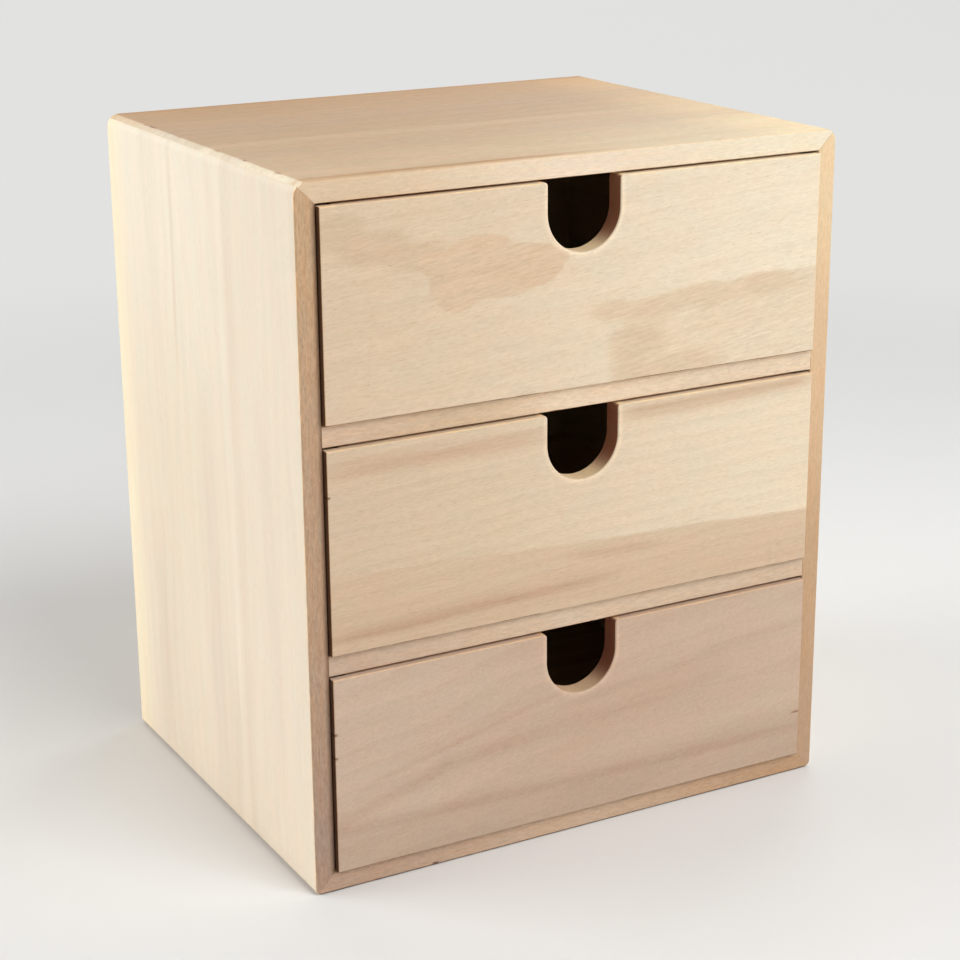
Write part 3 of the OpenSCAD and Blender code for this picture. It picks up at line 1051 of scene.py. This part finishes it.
# finds each pin of a CAD node: the middle of its head, and the way the head looks
def pinPlaces(node):
    shape = bmesh.new()
    shape.from_mesh(frame["nodes"][node].data)
    bmesh.ops.remove_doubles(shape, verts=shape.verts, dist=mergeGap)
    left, places = set(shape.verts), []
    while left:
        group, queue = set(), [next(iter(left))]
        while queue:
            vert = queue.pop()
            if vert not in group:
                group.add(vert)
                queue.extend(edge.other_vert(vert) for edge in vert.link_edges)
        left -= group
        corners = [vert.co for vert in group]
        low, high = (Vector([pick(c[i] for c in corners) for i in range(3)]) for pick in (min, max))
        longest = max(range(3), key=lambda i: high[i] - low[i])
        other = (longest + 1) % 3
        middle = (low + high) / 2
        spread = []
        for end in (low[longest], high[longest]):
            near = [c for c in corners if abs(c[longest] - end) < pinHeadZone * mm]
            spread.append(max(abs(c[other] - middle[other]) for c in near))
        headIsHigh = spread[1] > spread[0]
        drive = Vector((0, 0, 0))
        drive[longest] = 1 if headIsHigh else -1
        top = high[longest] if headIsHigh else low[longest]
        middle[longest] = top - drive[longest] * pinSunk * mm
        places.append((tuple(middle), tuple(drive)))
    shape.free()
    return sorted(places)


pinMaker = pinTree()
steel = pinFinish()
for node in ["back_pins"] + [drawer + "_pins" for drawer in drawerNames]:
    places = pinPlaces(node)
    seeds = bpy.data.meshes.new("pin seeds")
    seeds.from_pydata([spot for spot, drive in places], [], [])
    drives = seeds.attributes.new("drive", "FLOAT_VECTOR", "POINT")
    for i, (spot, drive) in enumerate(places):
        drives.data[i].vector = drive
    mesh = growFrom(pinMaker, seeds, dict(pinPlan, Finish=steel))
    putOut(node + "_steel", mesh, steel, node)
print("pins done")


roomPlan = {
    "floorColour": paint(240, 239, 237),
    "mottleColour": paint(233, 232, 230),
    "nearTone": paint(226, 226, 225),  # how pale the paper looks near the cabinet, and far away
    "farTone": paint(208, 208, 208),
    "nearFade": (0.3, 0.9),
    "farFade": (1.2, 5.0),
    "reach": 9.0,
    "wallHeight": 3.0,
    "backdropStart": 1.1,
    "backdropBend": 0.6,
    "backdropSteps": 12,
    "relief": 0.1,
}


# 1 for the rays that show the background: seen straight, mirrored or through glass
def showsBackground(r):
    seen = r.node("ShaderNodeLightPath", pick=("Is Camera Ray", "Is Glossy Ray", "Is Transmission Ray"))
    return seen[0] + seen[1] + seen[2]


def roomFinish():
    material, r = newMaterial("studio paper")
    place = r.node("ShaderNodeTexCoord", pick="Object")
    mottle = r.noise(place, 3.0, 3.0, 0.5)
    tooth = r.noise(place, 900.0, 2.0, 0.5)
    colour = r.mix(mottle * 0.5, roomPlan["floorColour"], roomPlan["mottleColour"])
    paper = r.shader(colour, 0.8 + (tooth - 0.5) * 0.1, tooth, roomPlan["relief"], 0.15, specular=0.2)
    away = r.node("ShaderNodeVectorMath", {0: place}, operation="LENGTH")
    tone = r.mix(r.ease(away, *roomPlan["farFade"]), roomPlan["nearTone"], roomPlan["farTone"])
    haze = r.node("ShaderNodeEmission", {"Color": tone, "Strength": 1.0})
    share = showsBackground(r) * r.ease(away, *roomPlan["nearFade"])
    shader = r.node("ShaderNodeMixShader", {0: share, 1: paper, 2: haze})
    r.surface(shader)
    return material


def makeRoom():
    reach, start, bend = roomPlan["reach"], roomPlan["backdropStart"], roomPlan["backdropBend"]
    profile = [(-reach, 0.0), (start, 0.0)]
    for step in range(1, roomPlan["backdropSteps"] + 1):
        angle = math.radians(90 * step / roomPlan["backdropSteps"])
        profile.append((start + bend * math.sin(angle), bend * (1 - math.cos(angle))))
    profile.append((start + bend, roomPlan["wallHeight"]))
    verts = [(x, y, z) for y, z in profile for x in (-reach, reach)]
    faces = [(2 * i, 2 * i + 1, 2 * i + 3, 2 * i + 2) for i in range(len(profile) - 1)]
    mesh = bpy.data.meshes.new("studio_floor")
    mesh.from_pydata(verts, [], faces)
    for polygon in mesh.polygons:
        polygon.use_smooth = True
    mesh.materials.append(roomFinish())
    floor = putInScene("studio_floor", mesh)


lampPlan = {
    "window": dict(place=(-1.2, 0.62, 0.5), size=0.9, power=12.7),
    "overhead": dict(place=(0.25, -1.0, 1.25), size=0.75, power=11.8),
    "fill": dict(place=(0.8, -0.8, 0.45), size=0.6, power=3.8),
    "farCorner": dict(place=(0.42, 0.3, 0.62), size=0.3, power=0.9),
}
lampTarget = (0, 0, 0.1)
lightTint = (0.985, 0.995, 1.0)  # of the lamps and of the room
roomStrength = 0.255


def aimAt(place, target):
    return (Vector(target) - Vector(place)).to_track_quat("-Z", "Y").to_euler()


def makeLamps():
    for name, plan in lampPlan.items():
        lamp = bpy.data.lights.new(name, "AREA")
        lamp.shape = "SQUARE"
        lamp.size = plan["size"]
        lamp.energy = plan["power"]
        lamp.color = lightTint
        holder = putInScene(name, lamp)
        holder.location = plan["place"]
        holder.rotation_euler = aimAt(plan["place"], lampTarget)
    world = bpy.data.worlds.new("soft room")
    bpy.context.scene.world = world
    world.use_nodes = True
    world.node_tree.nodes.clear()
    r = Recipe(world.node_tree)
    glow = r.node("ShaderNodeBackground", {"Color": lightTint, "Strength": roomStrength})
    haze = r.node("ShaderNodeBackground", {"Color": roomPlan["farTone"], "Strength": 1.0})
    shown = r.node("ShaderNodeMixShader", {0: showsBackground(r), 1: glow, 2: haze})
    r.surface(shown, "World")


cameraPlan = {
    "place": (-0.3618, -0.6692, 0.3492),
    "heading": 28.81,  # degrees from +Y towards +X
    "dip": 17.82,
    "roll": -0.44,
    "lens": 82.4,
    "nearest": 0.01,
}


def makeCamera():
    heading, dip, roll = (math.radians(cameraPlan[key]) for key in ("heading", "dip", "roll"))
    ahead = Vector((math.sin(heading) * math.cos(dip), math.cos(heading) * math.cos(dip), -math.sin(dip)))
    right = ahead.cross(Vector((0, 0, 1))).normalized()
    up = right.cross(ahead)
    rightRolled = right * math.cos(roll) + up * math.sin(roll)
    upRolled = up * math.cos(roll) - right * math.sin(roll)
    turn = Matrix((rightRolled, upRolled, -ahead)).transposed().to_4x4()
    lens = bpy.data.cameras.new("camera")
    lens.lens = cameraPlan["lens"]
    lens.clip_start = cameraPlan["nearest"]
    camera = putInScene("camera", lens)
    camera.matrix_world = Matrix.Translation(cameraPlan["place"]) @ turn
    bpy.context.scene.camera = camera


makeRoom()
makeLamps()
makeCamera()
bpy.context.scene.view_settings.view_transform = "Standard"
print("room, lamps and camera done")
